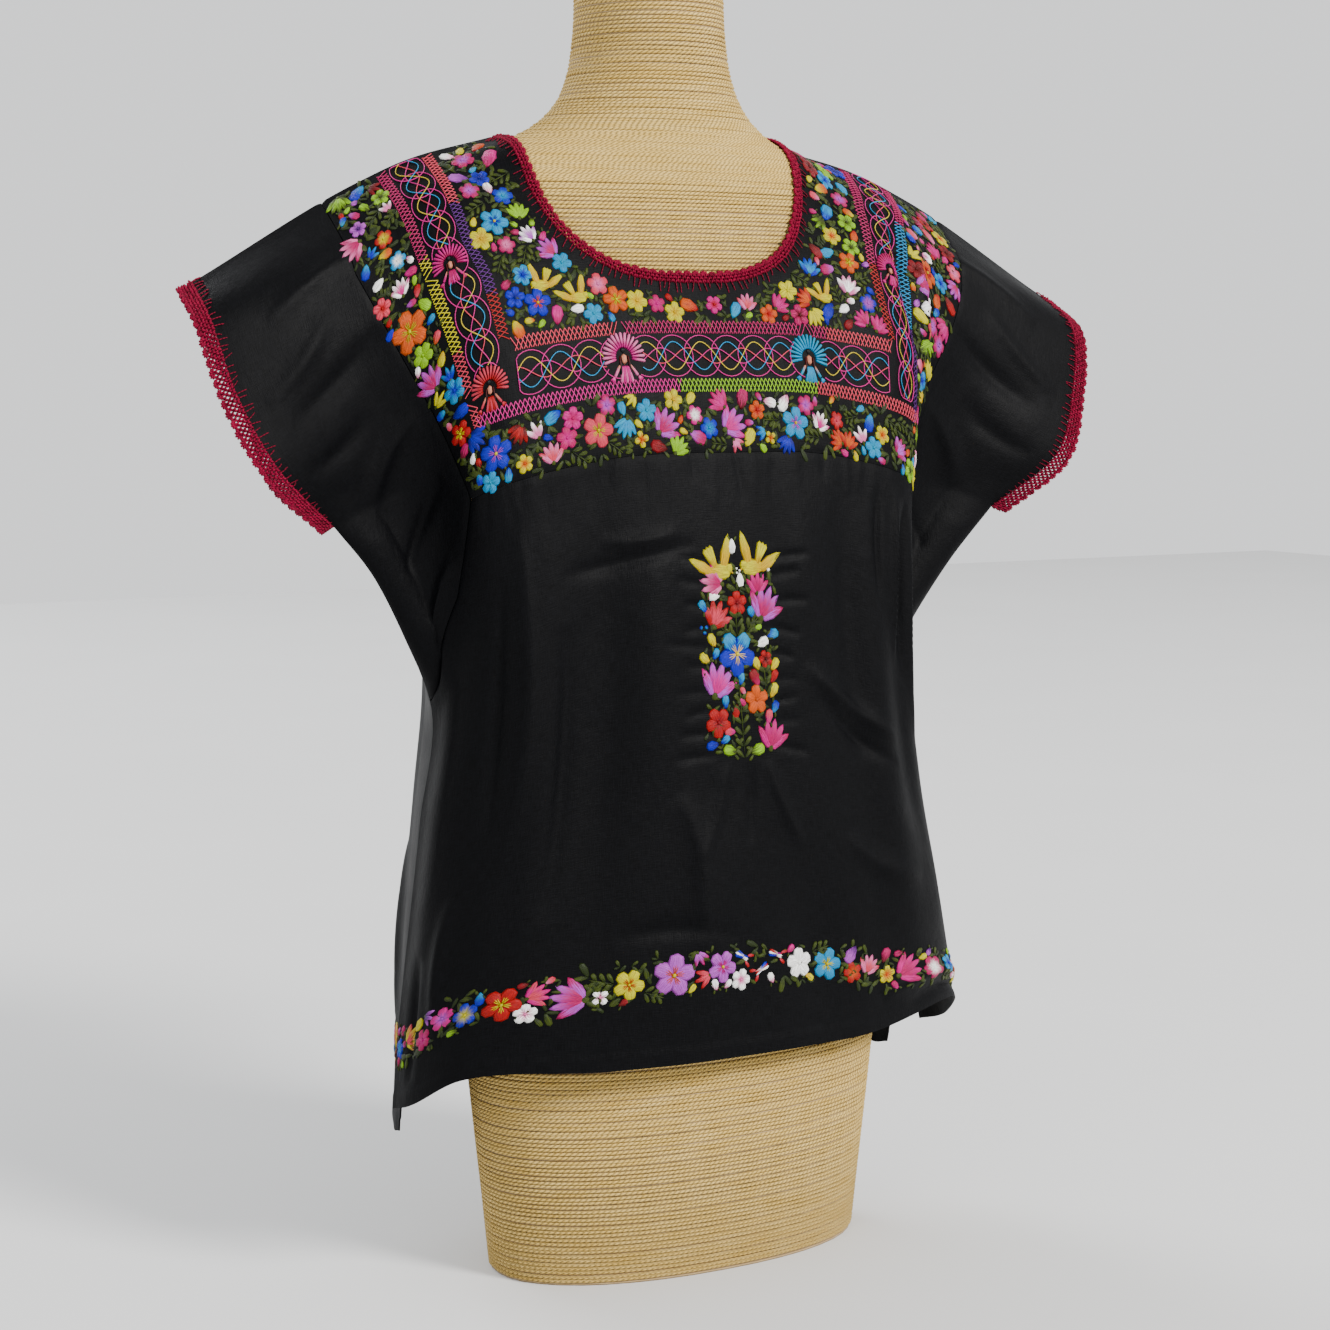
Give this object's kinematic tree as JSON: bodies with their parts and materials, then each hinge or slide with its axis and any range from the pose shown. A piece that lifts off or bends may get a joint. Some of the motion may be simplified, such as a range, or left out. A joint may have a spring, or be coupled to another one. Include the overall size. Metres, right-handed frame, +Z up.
{
  "type": "embroidered top on a dress form",
  "caption": "Black pull-on blouse with floral embroidered yoke, openwork band and red crochet edging, standing on a cord-wound limbless dress form.",
  "frame": {"origin": "centre of the dress form's flat base, on the surface it stands on", "axes": "+Z up the form's neck, -Y out of the front of the top, -X towards the wearer's right"},
  "size_m": [0.7562, 0.2523, 0.972],
  "materials": {
    "black_cloth": "plain-weave black cotton with a faint sheen",
    "embroidered_cloth": "black cotton covered in satin-stitch flowers and couched threads in many colours",
    "red_crochet": "deep red crocheted cotton thread",
    "straw_cord": "matt straw-coloured jute cord, wound in close rows"
  },
  "bodies": {
    "root": {"dress_form": "straw_cord", "front_yoke": "embroidered_cloth", "back_yoke": "embroidered_cloth", "front_body": "black_cloth", "back_body": "black_cloth", "right_sleeve": "black_cloth", "left_sleeve": "black_cloth", "neck_crochet": "red_crochet", "right_cuff_crochet": "red_crochet", "left_cuff_crochet": "red_crochet"}
  },
  "joints": []
}
